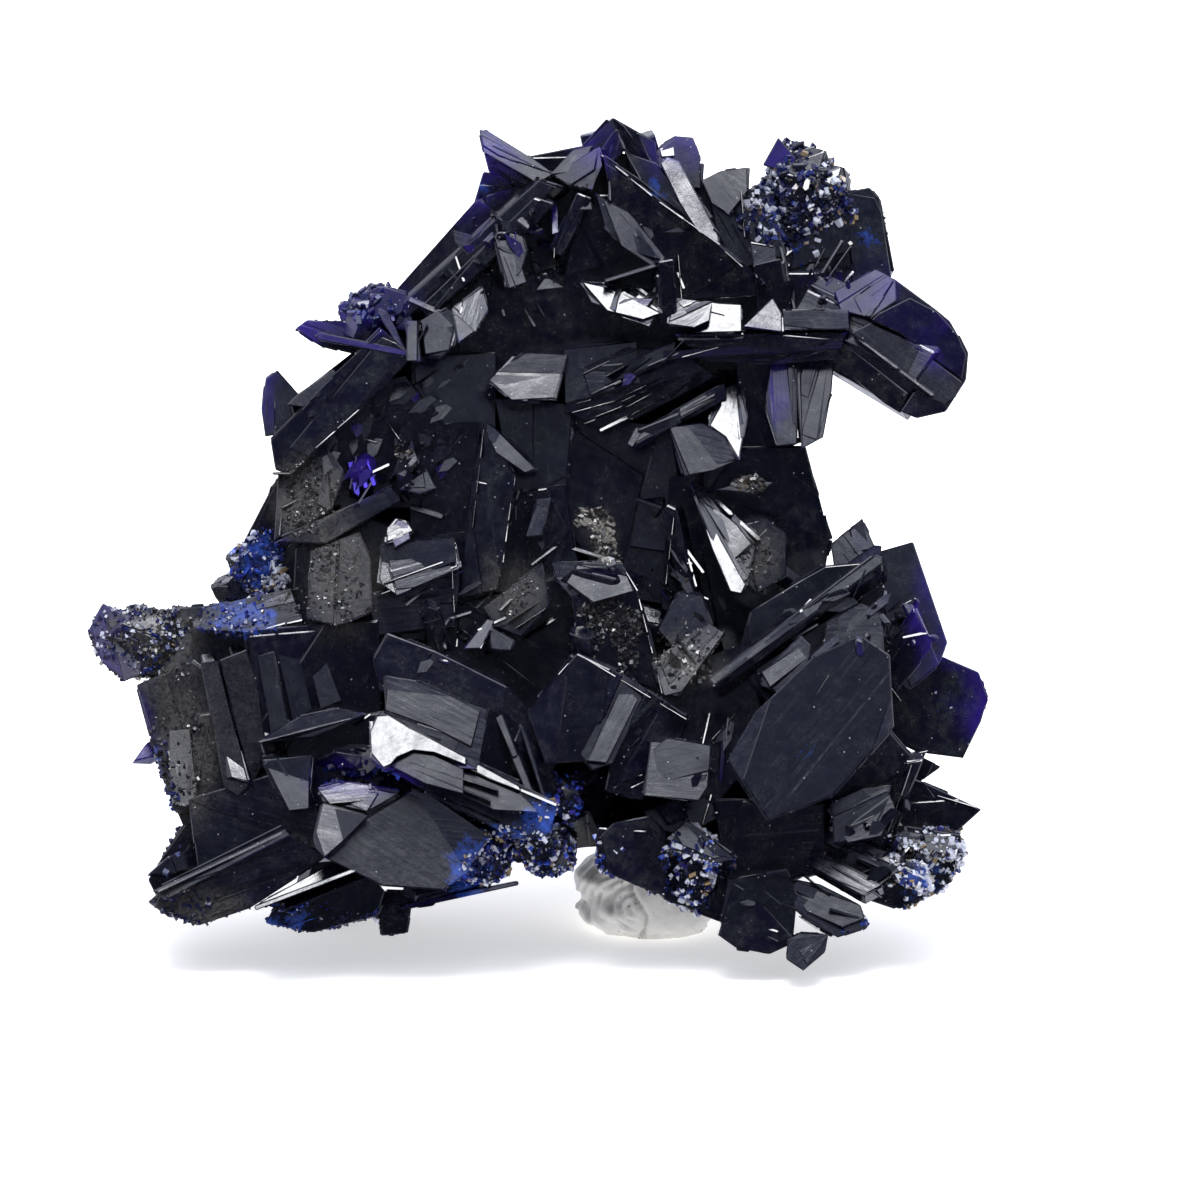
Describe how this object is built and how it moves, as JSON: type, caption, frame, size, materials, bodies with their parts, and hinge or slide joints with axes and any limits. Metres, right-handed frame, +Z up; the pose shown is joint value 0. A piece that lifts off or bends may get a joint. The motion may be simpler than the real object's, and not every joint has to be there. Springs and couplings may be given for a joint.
{
  "type": "azurite specimen",
  "caption": "Free-standing azurite specimen: dark blue intergrown tabular and prismatic crystals, held upright in a lump of white mounting putty.",
  "frame": {"origin": "middle of the bounding box's bottom face, on the surface that the specimen stands on", "axes": "+Z up; -Y the way the display face looks; +X to the right as seen from the display side"},
  "size_m": [0.0398, 0.0238, 0.0365],
  "materials": {
    "azurite": "glossy, nearly black blue crystal",
    "putty": "dull off-white putty"
  },
  "bodies": {
    "root": {"azurite_cluster": "azurite", "mounting_putty": "putty"}
  },
  "joints": []
}
